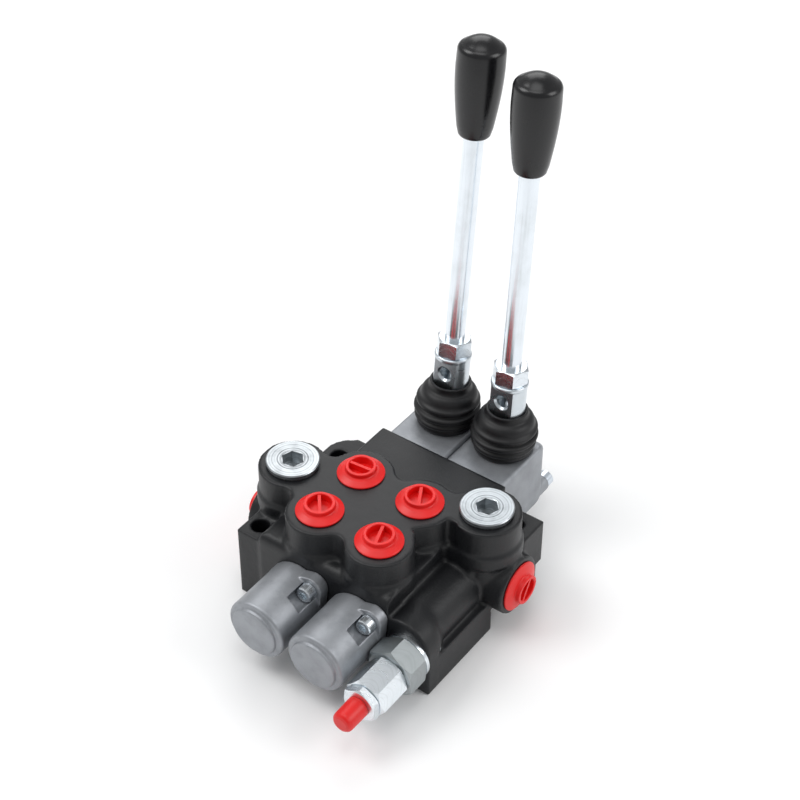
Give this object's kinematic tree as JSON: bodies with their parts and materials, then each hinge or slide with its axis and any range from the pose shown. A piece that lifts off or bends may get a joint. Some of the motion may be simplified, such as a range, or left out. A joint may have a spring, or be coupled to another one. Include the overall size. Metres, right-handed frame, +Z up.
{
  "type": "hydraulic monoblock valve",
  "caption": "Hydraulic monoblock directional valve with hand-levered spools, spring-centred, with relief valve, rubber boots and capped ports",
  "frame": {"origin": "on the mounting face, in plan below the middle of the four work ports", "axes": "+Z up from the mounting face, +Y along the spools towards the levers, +X across the spools towards the inlet port and the relief valve"},
  "size_m": [0.1458, 0.2061, 0.259],
  "materials": {
    "body_iron": "satin black paint on cast iron",
    "cast_aluminium": "fine shot-blasted die casting",
    "zinc_plate": "bright bluish zinc plate",
    "dull_zinc": "dull zinc plate",
    "ground_steel": "ground and polished steel",
    "spring_steel": "oiled spring wire",
    "red_plastic": "moulded soft plastic",
    "black_knob": "glossy moulded plastic",
    "black_rubber": "moulded rubber, semi-matt",
    "seal_rubber": "smooth rubber",
    "bonded_seal": "rubber bonded sealing washer"
  },
  "bodies": {
    "root": {"valve_body": "body_iron", "spool_seals": "seal_rubber", "spring_cap_screws": "zinc_plate", "lever_housing_screws": "zinc_plate", "plug_left": "zinc_plate", "plug_right": "zinc_plate", "plug_washers": "bonded_seal", "relief_body": "dull_zinc", "relief_washer": "bonded_seal", "relief_seat": "ground_steel", "relief_spring": "spring_steel", "relief_sleeve": "zinc_plate", "relief_lock_nut": "zinc_plate", "relief_cap": "red_plastic", "check_spring": "spring_steel", "port_cap_inlet": "red_plastic", "port_cap_outlet": "red_plastic", "spring_cap_left": "cast_aluminium", "lever_housing_left": "cast_aluminium", "pivot_pin_left": "ground_steel", "spring_seats_left": "ground_steel", "centring_spring_left": "spring_steel", "boot_left": "black_rubber", "port_cap_left_front": "red_plastic", "port_cap_left_rear": "red_plastic", "spring_cap_right": "cast_aluminium", "lever_housing_right": "cast_aluminium", "pivot_pin_right": "ground_steel", "spring_seats_right": "ground_steel", "centring_spring_right": "spring_steel", "boot_right": "black_rubber", "port_cap_right_front": "red_plastic", "port_cap_right_rear": "red_plastic"},
    "lever_left": {"lever_hub_left": "zinc_plate", "lever_nut_left": "zinc_plate", "lever_rod_left": "zinc_plate", "knob_left": "black_knob"},
    "spool_left_body": {"spool_left": "ground_steel", "shoulder_bolt_left": "ground_steel"},
    "lever_right": {"lever_hub_right": "zinc_plate", "lever_nut_right": "zinc_plate", "lever_rod_right": "zinc_plate", "knob_right": "black_knob"},
    "spool_right_body": {"spool_right": "ground_steel", "shoulder_bolt_right": "ground_steel"},
    "relief_poppet_body": {"relief_poppet": "ground_steel"},
    "relief_adjuster_body": {"relief_adjuster": "zinc_plate", "relief_guide": "ground_steel"},
    "check_poppet_body": {"check_poppet": "ground_steel"}
  },
  "joints": [
    {"name": "lever_left_tilt", "type": "hinge", "parent": "root", "child": "lever_left", "pos_m": [-0.0175, 0.0885, 0.042], "axis": [1, 0, 0], "range_deg": [-20, 20], "stiffness_Nm_per_rad": 8, "deforming": ["boot_left"]},
    {"name": "spool_left_shift", "type": "slide", "parent": "root", "child": "spool_left_body", "axis": [0, 1, 0], "range_m": [-0.006, 0.006], "deforming": ["centring_spring_left", "spring_seats_left"]},
    {"name": "lever_right_tilt", "type": "hinge", "parent": "root", "child": "lever_right", "pos_m": [0.0175, 0.0885, 0.042], "axis": [1, 0, 0], "range_deg": [-20, 20], "stiffness_Nm_per_rad": 8, "deforming": ["boot_right"]},
    {"name": "spool_right_shift", "type": "slide", "parent": "root", "child": "spool_right_body", "axis": [0, 1, 0], "range_m": [-0.006, 0.006], "deforming": ["centring_spring_right", "spring_seats_right"]},
    {"name": "relief_poppet_lift", "type": "slide", "parent": "root", "child": "relief_poppet_body", "axis": [0, -1, 0], "range_m": [0, 0.002], "stiffness_N_per_m": 2000, "springref_m": -0.003, "deforming": ["relief_spring"]},
    {"name": "relief_adjust", "type": "slide", "parent": "root", "child": "relief_adjuster_body", "axis": [0, -1, 0], "range_m": [-0.0015, 0.0015], "deforming": ["relief_spring"]},
    {"name": "check_poppet_lift", "type": "slide", "parent": "root", "child": "check_poppet_body", "axis": [0, 0, 1], "range_m": [0, 0.003], "stiffness_N_per_m": 400, "springref_m": -0.004, "deforming": ["check_spring"]}
  ],
  "couplings": [
    {"joint": "spool_left_shift", "follows": "lever_left_tilt", "m_per_rad": 0.0155},
    {"joint": "spool_right_shift", "follows": "lever_right_tilt", "m_per_rad": 0.0155}
  ]
}
